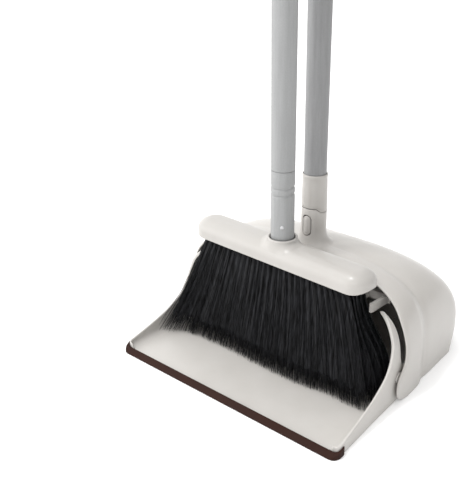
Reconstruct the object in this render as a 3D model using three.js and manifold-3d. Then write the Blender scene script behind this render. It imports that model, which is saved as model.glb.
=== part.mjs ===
// Dust pan and brush set: a long-handled broom stored in a hooded, long-handled dust pan.
// Millimetres, +Z up, the pan's lip towards -Y. The origin is on the floor, at the middle
// of the object's box.

import * as THREE from "three";
import { mergeVertices } from "three/addons/utils/BufferGeometryUtils.js";
import Module from "manifold-3d";

const wasm = await Module();
wasm.setup();

// ---------------------------------------------------------------- driving dimensions

const GAP = 0.3; // left between pieces that touch
const FIT = 0.15; // radial clearance of a tube in its socket

const HALF_DEPTH = 116.6; // lip to the middle, and middle to the back of the hood
const TRAY_HALF = 119.8; // half width of the tray outside its walls
const TRAY_FLARE = 0.9; // how much wider it is at the lip
const TRAY_WALL = 2.2;
const TRAY_FLOOR = 2.6;
const TRAY_ARCH = 89; // height that the tray's inward-curving walls head for
const TRAY_BACK = 100;
const TRAY_CORNER = 52; // radius of its back corners, seen from above
const TRAY_TOP_GAP_HALF = 98; // the tray's walls stop this far from the middle
const MOUTH_POWER = 5; // squareness of the arched cross-sections at the mouth and of the tray
const BACK_POWER = 3; // squareness of the shoulders behind the band

const HOOD_HALF = 122.9;
const HOOD_WALL = 2.4;
const HOOD_CREST = 103;
const HOOD_BACK = { half: 88.9, high: 28 }; // the flat part of the back
const HOOD_CORNER_Y = 78; // where the sides start to curve in
const HOOD_FALL_Y = 28; // where the top starts to fall
const TUCK = { deep: 9, share: 0.045, high: 26 }; // how the lower back curves in to the floor
const BAND_PROUD = 1.6; // how far the band stands out round the mouth
const BAND_END_Y = 21;
const MOUTH_Y = -10;
const MOUTH_DROP = 0.25; // slope of the hood's top from the band's end down to the mouth

const PIVOT = { y: -15, z: 25, r: 3 };

const TUBE_R = 10.45;
const TUBE_WALL = 0.8;
const POLE_Y = 22.9; // axis of the pan's pole
const BROOM_Y = -25.4; // axis of the broom's pole
const BROOM_YAW = THREE.MathUtils.degToRad(-2.8); // the stored broom sits slightly turned

const NECK_R = 12;
const NECK_TOP = 135.6;
const SLEEVE_TOP = 169.8;
const POLE_FOOT = 112.3;
const BUTTON = { z: 121.8, r: 4.6, straight: 10.8, front: -12.7, back: -7.2 };

// The head reaches a little further to the left of its pole than to the right.
const HEAD = { half: 99, shift: -2, deep: 17, bottom: 101.5, crown: 118.8, wall: 2.5, lift: 4 };
const COLLAR = { r: 13.8, top: 124 };
const SOCKET_TOP = 185.7;
const RIVET = { z: 136, turn: 38 };
const ROW_COUNT = 5;
const ROW_PITCH = 6;
const ROW_LEAN = [-15, -9, -3.5, 0, 2]; // how far the tips of each row stand off, in Y
const TIP_Z = 5.5;
const TUFT_TOP = 103;

const BROOM_JOINTS = [186, 621.3, 870.3]; // seams of the broom's pole
const PAN_JOINT = 600.3;
const BROOM_GRIP = { from: 1187, to: 1362, r: 16 };
const PAN_GRIP = { from: 697, to: 853, r: 16 };
const CLIP = { from: 610, to: 645, wall: 3.4 };
const RING = { wide: 9, high: 13.5, rod: 1.6, stem: 8 };

// ---------------------------------------------------------------- materials

const finish = (color, roughness, metalness = 0) =>
  new THREE.MeshStandardMaterial({ color, roughness, metalness });
const WHITE = finish(0xe4e0da, 0.42);
const BROWN = finish(0x3a2019, 0.6);
const BLACK = finish(0x17171a, 0.7);
const SILVER = finish(0xa9abad, 0.4, 0.5);
const STEEL = finish(0xb9bbbd, 0.3, 0.9);
const PLUG = finish(0x8f9193, 0.6);

// ---------------------------------------------------------------- geometry helpers

// A closed three.js geometry as a manifold-3d solid, with its faces pointing out.
function solid(geometry) {
  const bare = geometry.index ? geometry.toNonIndexed() : geometry.clone();
  const only = new THREE.BufferGeometry();
  only.setAttribute("position", bare.getAttribute("position"));
  const merged = mergeVertices(only, 1e-3);
  const make = (triVerts) =>
    new wasm.Manifold(
      new wasm.Mesh({ numProp: 3, vertProperties: merged.attributes.position.array, triVerts }),
    );
  const made = make(new Uint32Array(merged.index.array));
  return made.volume() < 0 ? make(new Uint32Array(merged.index.array).reverse()) : made;
}

function geometryOf(made) {
  const mesh = made.getMesh();
  const geometry = new THREE.BufferGeometry();
  geometry.setAttribute("position", new THREE.BufferAttribute(mesh.vertProperties, 3));
  geometry.setIndex(new THREE.BufferAttribute(mesh.triVerts, 1));
  geometry.computeVertexNormals();
  return geometry;
}

const cut = (body, ...tools) => tools.reduce((left, tool) => left.subtract(tool), body);
const join = (...bodies) => bodies.reduce((all, body) => all.add(body));

// A turned shape about the vertical through (x, y). The profile is a list of [radius, z].
function turned(profile, sides = 32, x = 0, y = 0) {
  const points = profile.map(([r, z]) => new THREE.Vector2(r, z));
  return solid(new THREE.LatheGeometry(points, sides).rotateX(Math.PI / 2).translate(x, y, 0));
}

const rod = (r, z0, z1, x = 0, y = 0, sides = 32) =>
  turned([[0, z0], [r, z0], [r, z1], [0, z1]], sides, x, y);

const pipe = (outer, inner, z0, z1, x = 0, y = 0, sides = 32) =>
  turned([[inner, z0], [outer, z0], [outer, z1], [inner, z1], [inner, z0]], sides, x, y);

function block(x0, x1, y0, y1, z0, z1) {
  const box = new THREE.BoxGeometry(x1 - x0, y1 - y0, z1 - z0);
  return solid(box.translate((x0 + x1) / 2, (y0 + y1) / 2, (z0 + z1) / 2));
}

// A [y, z] outline carried along X.
function acrossX(outline, x0, x1) {
  const shape = new THREE.Shape(outline.map(([y, z]) => new THREE.Vector2(y, z)));
  const geometry = new THREE.ExtrudeGeometry(shape, { depth: x1 - x0, bevelEnabled: false });
  geometry.rotateY(Math.PI / 2).rotateX(Math.PI / 2);
  return solid(geometry.translate(x0, 0, 0));
}

// An [x, z] outline carried along Y.
function alongY(outline, y0, y1, curveSegments = 8) {
  const shape =
    outline instanceof THREE.Shape
      ? outline
      : new THREE.Shape(outline.map(([x, z]) => new THREE.Vector2(x, z)));
  const settings = { depth: y1 - y0, bevelEnabled: false, curveSegments };
  const geometry = new THREE.ExtrudeGeometry(shape, settings).rotateX(Math.PI / 2);
  return solid(geometry.translate(0, y1, 0));
}

// Rings of equal length joined into one skin, with a flat cap on both ends.
function loft(rings) {
  const count = rings[0].length;
  const positions = rings.flat(2);
  const index = [];
  for (let i = 0; i < rings.length - 1; i++) {
    for (let j = 0; j < count; j++) {
      const a = i * count + j;
      const b = i * count + ((j + 1) % count);
      index.push(a, b, b + count, a, b + count, a + count);
    }
  }
  const cap = (ring, first, turn) => {
    const middle = positions.length / 3;
    positions.push(...[0, 1, 2].map((k) => ring.reduce((sum, p) => sum + p[k], 0) / count));
    for (let j = 0; j < count; j++) {
      const edge = [first + j, first + ((j + 1) % count)];
      index.push(...(turn ? edge : edge.reverse()), middle);
    }
  };
  cap(rings[0], 0, false);
  cap(rings.at(-1), (rings.length - 1) * count, true);
  const geometry = new THREE.BufferGeometry();
  geometry.setAttribute("position", new THREE.Float32BufferAttribute(positions, 3));
  geometry.setIndex(index);
  return solid(geometry);
}

const smooth = (points, count) =>
  new THREE.SplineCurve(points.map(([u, v]) => new THREE.Vector2(u, v)))
    .getSpacedPoints(count)
    .map((p) => [p.x, p.y]);

const part = new THREE.Group();
const pan = new THREE.Group();
const broom = new THREE.Group();
broom.position.y = BROOM_Y;
broom.rotation.z = BROOM_YAW;
part.add(pan, broom);

function place(group, name, made, material) {
  const mesh = new THREE.Mesh(geometryOf(made), material);
  mesh.name = name;
  group.add(mesh);
}

// ---------------------------------------------------------------- arched shells

// An arch of half width a and height b, standing on z = 0 in the plane y.
function arch(a, b, y, foot = 0, power = MOUTH_POWER, steps = 28) {
  const side = [];
  const firstRise = Math.sin(Math.PI / steps) ** (2 / MOUTH_POWER);
  for (const part of [0, 0.15, 0.35, 0.65]) {
    const up = part * firstRise;
    side.push([(1 - up ** MOUTH_POWER) ** (1 / power), up]);
  }
  for (let i = 1; i < steps / 2; i++) {
    const t = (Math.PI * i) / steps;
    side.push([Math.cos(t) ** (2 / power), Math.sin(t) ** (2 / MOUTH_POWER)]);
  }
  const right = side.map(([across, up]) => [a * across, y, b * up]);
  const left = side.map(([across, up]) => [-a * across, y, b * up]).reverse();
  const below = foot < 0 ? [[-a, y, foot], [a, y, foot]] : [];
  return [...right, [0, y, b], ...left, ...below];
}

const share = (value, from, to) => Math.min(1, Math.max(0, (value - from) / (to - from)));

// Half width, height and squareness of the hood's shell at a distance y along it.
function hoodSize(y) {
  const corner = Math.sqrt(1 - share(y, HOOD_CORNER_Y, HALF_DEPTH) ** 2);
  const fall = Math.sqrt(1 - share(y, HOOD_FALL_Y, HALF_DEPTH) ** 2);
  const mouthDrop = MOUTH_DROP * Math.max(0, BAND_END_Y - y);
  return {
    a: HOOD_BACK.half + (HOOD_HALF - HOOD_BACK.half) * corner,
    b: HOOD_BACK.high + (HOOD_CREST - HOOD_BACK.high) * fall - mouthDrop,
    power: MOUTH_POWER + (BACK_POWER - MOUTH_POWER) * share(y, MOUTH_Y, BAND_END_Y),
  };
}

// The lower back of the hood curves in towards the floor.
function tucked([x, y, z], station) {
  const low = Math.max(0, 1 - Math.max(0, z) / TUCK.high) ** 2;
  const amount = low * share(station, HOOD_CORNER_Y, HALF_DEPTH);
  return [x * (1 - TUCK.share * amount), y - TUCK.deep * amount, z];
}

// The hood's body from y0 to y1, moved in by inset (or out, if negative). The rings stand
// closer together towards the rounded back.
function hoodBody(y0, y1, inset, foot = 0) {
  const toBack = y1 > HOOD_CORNER_Y;
  const stations = toBack
    ? [y0, MOUTH_Y, 5, BAND_END_Y, 36, 50, 63, 75, 86, 95, 102, 107.5, 111.5, 114.4, 116, y1]
    : [y0, MOUTH_Y, 0, 10, y1];
  const rings = stations.map((y) => {
    const { a, b, power } = hoodSize(y);
    const back = inset * Math.max(0, y / HALF_DEPTH);
    return arch(a - inset, b - inset, y - back, foot, power).map((p) => tucked(p, y));
  });
  return loft(rings);
}

// Side view of everything in front of the hood's mouth: round lugs low down for the
// pivots, then the upright edge, which leans back at the top.
function mouthCutter() {
  const edge = smooth(
    [[-10, -1], [-20, 3], [-24.6, 9], [-25.6, 16], [-24, 24], [-18.5, 30.5], [-14, 38],
     [-13, 50], [-14, 62], [-13.5, 74], [-8, 87], [0, 97], [10, 110]],
    36,
  );
  return acrossX([...edge, [-60, 112], [-60, -4], [-10, -4]], -140, 140);
}

// Everything above (from = 60) or below (from = -60) the S-shaped seam of the neck.
const sCut = (lift, from) => {
  const seam = smooth([[-20, 2.1], [5.5, 2.1], [8.6, 1.4], [10.4, -0.6], [11.7, -1.8], [20, -2.1]], 22);
  const line = seam.map(([x, z]) => [x, NECK_TOP + z + lift]);
  const outline = [...line, [20, NECK_TOP + from], [-20, NECK_TOP + from]];
  return alongY(outline, POLE_Y - 20, POLE_Y + 20);
};

function buttonBar(extra, y0, y1) {
  const r = BUTTON.r + extra;
  const half = BUTTON.straight / 2;
  const shape = new THREE.Shape();
  shape.absarc(0, BUTTON.z + half, r, 0, Math.PI, false);
  shape.absarc(0, BUTTON.z - half, r, Math.PI, 2 * Math.PI, false);
  shape.closePath();
  return alongY(shape, POLE_Y + y0, POLE_Y + y1);
}

const sideRod = (r, x0, x1) =>
  solid(
    new THREE.CylinderGeometry(r, r, x1 - x0, 24)
      .rotateZ(Math.PI / 2)
      .translate((x0 + x1) / 2, PIVOT.y, PIVOT.z),
  );

function hood() {
  const shell = join(
    hoodBody(-30, BAND_END_Y, -BAND_PROUD),
    hoodBody(-30, HALF_DEPTH, 0),
  );
  const neck = turned(
    [[0, 98], [20.5, 98], [18.6, 102.5], [15.6, 105], [13.8, 108.5], [12.6, 113.5], [NECK_R, 119],
     [NECK_R, NECK_TOP + 8], [0, NECK_TOP + 8]],
    36, 0, POLE_Y,
  );
  const hollow = hoodBody(-34, HALF_DEPTH, HOOD_WALL, -6);
  return cut(
    join(cut(shell, hollow, mouthCutter()), cut(neck, hollow)),
    rod(TUBE_R + FIT, POLE_FOOT - GAP, NECK_TOP + 20, 0, POLE_Y, 36),
    sCut(0, 60),
    buttonBar(GAP, -20, 0),
    sideRod(PIVOT.r + 0.1, 115, 123.2),
    sideRod(PIVOT.r + 0.1, -123.2, -115),
  );
}

function sleeve() {
  const body = turned(
    [[TUBE_R + FIT, NECK_TOP - 10], [NECK_R, NECK_TOP - 10], [NECK_R, NECK_TOP + 4],
     [11.5, SLEEVE_TOP - 1], [11.2, SLEEVE_TOP], [TUBE_R + FIT, SLEEVE_TOP],
     [TUBE_R + FIT, NECK_TOP - 10]],
    36, 0, POLE_Y,
  );
  return cut(body, sCut(GAP, -60));
}

// ---------------------------------------------------------------- the tray and its lip

// Side view of what is cut away above the tray's walls.
function rimCutter() {
  const rim = smooth(
    [[-HALF_DEPTH - 4, 6.4], [-104, 10], [-84, 14.5], [-62, 20.8], [-49, 26.5], [-38, 34],
     [-30, 46], [-25.5, 58], [-23.5, 68], [-18.5, 79], [-10, 92]],
    34,
  );
  return acrossX([...rim, [-10, 130], [-HALF_DEPTH - 4, 130]], -140, 140);
}

// Side view of the opening behind the two arms that stand up at the tray's mouth.
function armCutter() {
  const edge = smooth(
    [[-4, 30], [-11, 32], [-14.5, 37], [-16.3, 45], [-16.8, 55], [-16.9, 66], [-17.1, 76],
     [-17.3, 84], [-17.5, 99]],
    24,
  );
  const behind = TRAY_BACK + 8;
  return acrossX([...edge, [behind, 99], [behind, 30]], -140, 140);
}

function trayBody(inset, y0, y1, floor) {
  const plan = (y) => {
    const corner = share(y, TRAY_BACK - TRAY_CORNER, TRAY_BACK);
    const flare = TRAY_FLARE * share(-y, 50, 105);
    return TRAY_HALF + flare - TRAY_CORNER * (1 - Math.sqrt(1 - corner ** 2));
  };
  const rings = [];
  const steps = 12;
  for (let i = 0; i <= steps; i++) {
    const y = y0 + (y1 - y0) * Math.sin((i / steps) * (Math.PI / 2));
    const grow = Math.min(y + inset, TRAY_BACK);
    rings.push(arch(plan(grow) - inset, TRAY_ARCH - inset, y));
  }
  const body = loft(rings);
  return floor > 0 ? cut(body, block(-140, 140, -140, 140, -1, floor)) : body;
}

// The tray's outline seen from above is rounded at the two front corners.
function frontCorners(radius, half, front) {
  const shape = new THREE.Shape();
  shape.moveTo(-half, 140);
  shape.lineTo(-half, front + radius);
  shape.absarc(-half + radius, front + radius, radius, Math.PI, 1.5 * Math.PI, false);
  shape.absarc(half - radius, front + radius, radius, 1.5 * Math.PI, 2 * Math.PI, false);
  shape.lineTo(half, 140);
  const settings = { depth: 150, bevelEnabled: false, curveSegments: 5 };
  return solid(new THREE.ExtrudeGeometry(shape, settings).translate(0, 0, -5));
}

const STRIP = 6; // how far the lip strip reaches back

function tray() {
  const body = cut(
    trayBody(0, -HALF_DEPTH - 3, TRAY_BACK, 0),
    trayBody(TRAY_WALL, -HALF_DEPTH - 8, TRAY_BACK - TRAY_WALL, TRAY_FLOOR),
    rimCutter(),
    armCutter(),
    block(-TRAY_TOP_GAP_HALF, TRAY_TOP_GAP_HALF, -140, TRAY_BACK - 30, 62, 120),
    sideRod(PIVOT.r + 0.1, 110, 125),
    sideRod(PIVOT.r + 0.1, -125, -110),
  );
  return body.intersect(frontCorners(5, TRAY_HALF + TRAY_FLARE, -HALF_DEPTH + STRIP));
}

function lipStrip() {
  const side = TRAY_HALF + TRAY_FLARE + GAP;
  const outer = frontCorners(7.5, side + 1.2, -HALF_DEPTH);
  const inner = frontCorners(5.3, side, -HALF_DEPTH + STRIP - GAP);
  const slope = smooth(
    [[-HALF_DEPTH - 1, 1.6], [-HALF_DEPTH + 3, 3.6], [-HALF_DEPTH + STRIP, 4.9], [-105, 7.8],
     [-99, 10]],
    10,
  );
  const top = acrossX([...slope, [-99, -1], [-HALF_DEPTH - 1, -1]], -140, 140);
  const slab = block(-140, 140, -HALF_DEPTH - 1, -104.5, 0, 12);
  return cut(slab.intersect(outer).intersect(top), inner);
}

function pivotPin(side) {
  const inner = 115.4;
  const outer = 122.9;
  const shank = side > 0 ? sideRod(PIVOT.r, inner, outer) : sideRod(PIVOT.r, -outer, -inner);
  return side > 0
    ? join(shank, sideRod(4.6, TRAY_HALF + 0.1, 120.15))
    : join(shank, sideRod(4.6, -120.15, -TRAY_HALF - 0.1));
}

// ---------------------------------------------------------------- comb, button, spring

function comb() {
  const bar = block(-95, 95, 3, 8, 76, 84);
  const teeth = [];
  for (let i = -6; i <= 6; i++) {
    const outline = [[4, 77], [4, 84], [-2, 83], [-2, 74.5]];
    teeth.push(acrossX(outline, i * 12 - 2.2, i * 12 + 2.2));
  }
  const posts = [-40, 40].map((x) => block(x - 6, x + 6, 4, 7, 83, 95.6));
  return join(bar, ...teeth, ...posts);
}

// The longer tooth at each end of the comb, beside the stored brush.
function combEnd(side) {
  const outline = [[3, 77], [3, 84], [-25, 88], [-25, 79.5]];
  return acrossX(outline, side * 92.5 - 1.3, side * 92.5 + 1.3);
}

const button = () =>
  cut(
    buttonBar(0, BUTTON.front, BUTTON.back),
    rod(2.2, BUTTON.z - 2, BUTTON.z + 2, 0, POLE_Y + BUTTON.back + 0.4),
  );

// A bent leaf: one leg behind the button, the other on the far wall of the pole.
function buttonSpring() {
  const outside = [[-6.8, 132], [-5.2, 118], [0, 114.4], [6.6, 118], [8.6, 132]];
  const inside = [[8.1, 132], [6.1, 118.6], [0, 115], [-4.7, 118.6], [-6.3, 132]];
  const outline = [...outside, ...inside].map(([v, z]) => [POLE_Y + v, z]);
  return acrossX(outline, -3, 3);
}

// ---------------------------------------------------------------- poles and what is on them

const tube = (z0, z1, y) => pipe(TUBE_R, TUBE_R - TUBE_WALL, z0, z1, 0, y);
const plug = (z, y, reach = 24) =>
  pipe(TUBE_R - TUBE_WALL - FIT, 7.4, z - reach, z + reach, 0, y, 24);

function grip({ from, to, r }, y) {
  const hole = TUBE_R + FIT;
  return turned(
    [[hole, from], [r - 2, from], [r, from + 3], [r, to - 2], [r - 1.5, to], [hole, to],
     [hole, from]],
    32, 0, y,
  );
}

function endCap({ to, r }, y) {
  const z = to + GAP;
  return turned(
    [[2.6, z - 12], [9.2, z - 12], [9.2, z], [r - 1.2, z], [r - 1.6, z + 3], [r - 5, z + 6.5],
     [6, z + 8.5], [2.6, z + 8.5], [2.6, z - 12]],
    32, 0, y,
  );
}

// An upright oval loop on a short stem that turns in the end cap.
function hangRing({ to }, turn, y) {
  const base = to + 10;
  const steps = 28;
  const oval = new THREE.EllipseCurve(0, 0, RING.wide, RING.high).getPoints(steps).slice(0, steps);
  const path = oval.map((p) => new THREE.Vector3(p.x, 0, p.y));
  const extrudePath = new THREE.CatmullRomCurve3(path, true);
  const section = new THREE.Shape().absarc(0, 0, RING.rod, 0, 2 * Math.PI);
  const loop = new THREE.ExtrudeGeometry(section, { steps, extrudePath, curveSegments: 4 });
  const stem = rod(2.4, base - 2 - RING.stem, base + 0.6, 0, 0, 16);
  const made = join(solid(loop.translate(0, 0, base + RING.high)), stem);
  return made.rotate([0, 0, turn]).translate([0, y, 0]);
}

function poleClip() {
  const { from, to, wall } = CLIP;
  const bore = TUBE_R + FIT;
  const jaw = TUBE_R + GAP;
  const body = join(
    rod(bore + wall, from, to, 0, POLE_Y, 40),
    rod(jaw + wall, from, to, 0, BROOM_Y, 40),
    block(-6, 6, BROOM_Y, POLE_Y, from + 3, to - 3),
    block(-jaw - wall, jaw + wall, BROOM_Y - 5, BROOM_Y, from, to),
  );
  return cut(
    body,
    rod(bore, from - 2, to + 2, 0, POLE_Y, 40),
    rod(jaw, from - 2, to + 2, 0, BROOM_Y, 40),
    block(-jaw, jaw, BROOM_Y - 30, BROOM_Y, from - 2, to + 2),
  );
}

// ---------------------------------------------------------------- broom head and bristles

// Plan of the head: straight sides and rounded ends, as a ring at height z. The lower
// edge lifts towards both ends.
function headOutline(half, deep, z, lift = 0) {
  const end = deep;
  const steps = 10;
  const ring = [];
  for (const side of [1, -1]) {
    for (let i = 0; i <= steps; i++) {
      const t = -Math.PI / 2 + (Math.PI * i) / steps;
      const out = Math.cos(t);
      const x = HEAD.shift + side * (half - end + end * out);
      ring.push([x, side * deep * Math.sin(t), z + lift * out ** 3]);
    }
  }
  return ring;
}

function headShell(inset, bottom, top) {
  const rings = [headOutline(HEAD.half - inset, HEAD.deep - inset, bottom, HEAD.lift)];
  const steps = 7;
  const round = 11.5;
  const pullIn = 14;
  for (let i = 0; i <= steps; i++) {
    const t = (Math.PI / 2) * (i / steps);
    const pull = inset + pullIn * (1 - Math.cos(t));
    const z = top - round + round * Math.sin(t);
    rings.push(headOutline(HEAD.half - pull, HEAD.deep - pull, z, i === 0 ? HEAD.lift / 2 : 0));
  }
  return loft(rings);
}

const SCREW_X = 52;

function broomHead() {
  const { r, top } = COLLAR;
  const collar = turned(
    [[0, 113], [r + 4.5, 113], [r + 2.6, HEAD.crown], [r, HEAD.crown + 2], [r, top - 0.8],
     [r - 0.8, top], [0, top]],
    36,
  );
  const bosses = [-1, 1].map((s) => rod(4.2, 110.3, HEAD.crown - 2, s * SCREW_X, 0, 16));
  const hollow = headShell(HEAD.wall, HEAD.bottom - 4, HEAD.crown - HEAD.wall);
  return cut(
    join(cut(headShell(0, HEAD.bottom, HEAD.crown), hollow), collar, ...bosses),
    rod(TUBE_R + GAP, 90, top + 4, 0, 0, 36),
    ...[-1, 1].map((s) => rod(1.9, 106, HEAD.crown - 3.4, s * SCREW_X, 0, 16)),
  );
}

function tuftBlock() {
  const inset = HEAD.wall + GAP;
  const slab = loft([
    headOutline(HEAD.half - inset - 3, HEAD.deep - inset, TUFT_TOP + GAP),
    headOutline(HEAD.half - inset - 3, HEAD.deep - inset - 1.6, 110),
  ]);
  const holes = [-1, 1].flatMap((s) => [
    rod(2.0, 90, 114, s * SCREW_X, 0, 16),
    rod(3.7, 90, 107, s * SCREW_X, 0, 16),
  ]);
  return cut(slab, ...holes, rod(8, 90, 114, 0, 0, 24));
}

const headScrew = (side) =>
  join(
    rod(3.4, TUFT_TOP + 1, 106.8, side * SCREW_X, 0, 16),
    rod(1.7, 105, 114.6, side * SCREW_X, 0, 16),
  );

// One row of tufts: a thin slab that widens and leans towards the tips.
function bristleRow(row) {
  const middle = (ROW_COUNT - 1) / 2;
  const start = (row - middle) * ROW_PITCH;
  const lean = ROW_LEAN[row];
  const levels = [TUFT_TOP, 88, 76, 66, 54, 42, 24, TIP_Z];
  const rings = levels.map((z) => {
    const down = (TUFT_TOP - z) / (TUFT_TOP - TIP_Z);
    const half = 83 + 30 / (1 + Math.exp((58 - z) / -11)) + 1.5 * down;
    const y = start + lean * down ** 1.25;
    const thick = 2.2 + 1.3 * down;
    const left = HEAD.shift * (1 - down) - half;
    const right = left + 2 * half;
    return [[left, y - thick, z], [right, y - thick, z], [right, y + thick, z], [left, y + thick, z]];
  });
  return loft(rings.reverse());
}

const broomSocket = () =>
  cut(
    tube(110.4, SOCKET_TOP, 0),
    solid(new THREE.CylinderGeometry(2.1, 2.1, 8, 16).translate(0, -TUBE_R, RIVET.z)).rotate([
      0, 0, RIVET.turn,
    ]),
  );

const socketRivet = () =>
  join(
    solid(new THREE.CylinderGeometry(1.8, 1.8, 3.2, 16).translate(0, -TUBE_R + 0.9, RIVET.z)),
    solid(new THREE.CylinderGeometry(2.9, 2.4, 0.8, 16).translate(0, -TUBE_R - 0.65, RIVET.z)),
  ).rotate([0, 0, RIVET.turn]);

// ---------------------------------------------------------------- assembly

place(pan, "hood", hood(), WHITE);
place(pan, "tray", tray(), WHITE);
place(pan, "lip_strip", lipStrip(), BROWN);
place(pan, "pivot_pin_left", pivotPin(-1), WHITE);
place(pan, "pivot_pin_right", pivotPin(1), WHITE);
place(pan, "comb", comb(), WHITE);
place(pan, "comb_end_left", combEnd(-1), WHITE);
place(pan, "comb_end_right", combEnd(1), WHITE);
place(pan, "pole_sleeve", sleeve(), WHITE);
place(pan, "release_button", button(), WHITE);
place(pan, "button_spring", buttonSpring(), STEEL);
const slotted = cut(tube(POLE_FOOT, PAN_JOINT - GAP, POLE_Y), buttonBar(GAP, -20, 0));
place(pan, "pan_pole_lower", slotted, SILVER);
place(pan, "pan_pole_joint", plug(PAN_JOINT, POLE_Y), PLUG);
place(pan, "pan_pole_upper", tube(PAN_JOINT, PAN_GRIP.to - 14, POLE_Y), SILVER);
place(pan, "pole_clip", poleClip(), WHITE);
place(pan, "pan_grip", grip(PAN_GRIP, POLE_Y), BROWN);
place(pan, "pan_end_cap", endCap(PAN_GRIP, POLE_Y), BROWN);
place(pan, "pan_hang_ring", hangRing(PAN_GRIP, -51, POLE_Y), WHITE);

place(broom, "broom_head", broomHead(), WHITE);
place(broom, "tuft_block", tuftBlock(), WHITE);
for (let row = 0; row < ROW_COUNT; row++) {
  place(broom, `bristle_row_${row + 1}`, bristleRow(row), BLACK);
}
place(broom, "head_screw_left", headScrew(-1), STEEL);
place(broom, "head_screw_right", headScrew(1), STEEL);
place(broom, "broom_socket", broomSocket(), SILVER);
place(broom, "socket_rivet", socketRivet(), STEEL);
const [jointLow, jointMiddle, jointHigh] = BROOM_JOINTS;
place(broom, "broom_pole_lower", tube(jointLow, jointMiddle - GAP, 0), SILVER);
place(broom, "broom_pole_middle", tube(jointMiddle, jointHigh - GAP, 0), SILVER);
place(broom, "broom_pole_upper", tube(jointHigh, BROOM_GRIP.to - 14, 0), SILVER);
BROOM_JOINTS.forEach((z, i) => place(broom, `broom_joint_${i + 1}`, plug(z, 0), PLUG));
place(broom, "broom_grip", grip(BROOM_GRIP, 0), BROWN);
place(broom, "broom_end_cap", endCap(BROOM_GRIP, 0), BROWN);
place(broom, "broom_hang_ring", hangRing(BROOM_GRIP, 39 + 2.8, 0), WHITE);

export default part;
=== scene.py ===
"""Looks of the dust pan and brush set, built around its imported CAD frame.

Lengths in the helpers are millimetres in the CAD's own frame. They become metres when a
mesh is made. +Z is up and the pan's lip is towards -Y.
"""

import math

import bmesh
import bpy
import numpy as np
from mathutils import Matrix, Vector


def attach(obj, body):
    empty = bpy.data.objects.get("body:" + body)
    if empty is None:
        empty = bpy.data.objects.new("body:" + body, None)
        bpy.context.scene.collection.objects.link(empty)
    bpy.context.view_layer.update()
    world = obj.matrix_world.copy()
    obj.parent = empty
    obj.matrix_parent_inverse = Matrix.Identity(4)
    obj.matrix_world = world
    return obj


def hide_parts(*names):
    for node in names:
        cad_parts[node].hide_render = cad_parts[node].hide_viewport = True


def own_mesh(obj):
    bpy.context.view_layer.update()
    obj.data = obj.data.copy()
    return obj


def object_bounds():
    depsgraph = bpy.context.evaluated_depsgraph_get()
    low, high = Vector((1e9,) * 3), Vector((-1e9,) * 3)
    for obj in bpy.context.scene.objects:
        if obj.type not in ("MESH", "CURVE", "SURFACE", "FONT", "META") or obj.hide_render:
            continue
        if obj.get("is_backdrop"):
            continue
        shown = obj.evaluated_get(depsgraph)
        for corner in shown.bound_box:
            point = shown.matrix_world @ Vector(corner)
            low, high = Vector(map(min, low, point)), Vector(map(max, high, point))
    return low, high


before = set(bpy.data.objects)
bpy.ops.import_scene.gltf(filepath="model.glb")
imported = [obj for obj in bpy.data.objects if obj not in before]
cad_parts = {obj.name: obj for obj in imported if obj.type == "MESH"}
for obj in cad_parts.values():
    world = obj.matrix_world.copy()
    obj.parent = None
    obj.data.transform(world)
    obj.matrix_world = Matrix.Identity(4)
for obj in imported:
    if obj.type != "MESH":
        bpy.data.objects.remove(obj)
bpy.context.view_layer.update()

MM = 0.001
rng = np.random.default_rng(20)

# ---------------------------------------------------------------- dimensions of the CAD

HALF_DEPTH = 116.6
TRAY_HALF, TRAY_ARCH, TRAY_BACK, TRAY_CORNER = 119.8, 89.0, 100.0, 52.0
TRAY_WALL, TRAY_FLOOR, TRAY_TOP, TRAY_FLARE = 2.2, 2.6, 80.0, 0.9
STRIP = 6.0
TRAY_FRONT = -HALF_DEPTH + STRIP
MOUTH_POWER, BACK_POWER, MOUTH_Y = 5.0, 3.0, -10.0
HOOD_HALF, HOOD_CREST, HOOD_WALL = 122.9, 103.0, 2.4
BACK_HALF, BACK_HIGH, CORNER_Y, FALL_Y = 88.9, 28.0, 78.0, 28.0
TUCK_DEEP, TUCK_SHARE, TUCK_HIGH = 9.0, 0.045, 26.0
BAND_PROUD, BAND_END_Y, MOUTH_DROP = 1.6, 21.0, 0.25
TUBE_R, TUBE_WALL, FIT, GAP = 10.45, 0.8, 0.15, 0.3
POLE_Y, BROOM_Y = 22.9, -25.4
BROOM_YAW = math.radians(-2.8)
NECK_R, NECK_TOP, SLEEVE_TOP, POLE_FOOT = 12.0, 135.6, 169.8, 112.3
BUTTON_Z, BUTTON_R, BUTTON_STRAIGHT, BUTTON_FRONT, BUTTON_BACK = 121.8, 4.6, 10.8, -12.7, -7.2
HEAD_HALF, HEAD_SHIFT, HEAD_DEEP, HEAD_BOTTOM, HEAD_CROWN = 99.0, -2.0, 17.0, 101.5, 118.8
HEAD_WALL, HEAD_LIFT, HEAD_ROUND, HEAD_PULL = 2.5, 4.0, 11.5, 14.0
COLLAR_R, COLLAR_TOP = 13.8, 124.0
SOCKET_TOP, RIVET_Z, RIVET_TURN = 185.7, 136.0, math.radians(38)
ROW_COUNT, ROW_PITCH, ROW_LEAN = 5, 6.0, (-15.0, -9.0, -3.5, 0.0, 2.0)
TIP_Z, TUFT_TOP = 5.5, 103.0
BROOM_SEAMS = (186.0, 621.3, 870.3)
PAN_SEAM = 600.3
BROOM_GRIP, PAN_GRIP, GRIP_R = (1187.0, 1362.0), (697.0, 853.0), 16.0
RING_WIDE, RING_HIGH, RING_ROD, RING_STEM = 9.0, 13.5, 1.6, 8.0

# ---------------------------------------------------------------- small helpers


def share(value, low, high):
    return np.clip((np.asarray(value, float) - low) / (high - low), 0, 1)


def smoothstep(value, low, high):
    t = share(value, low, high)
    return t * t * (3 - 2 * t)


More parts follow.
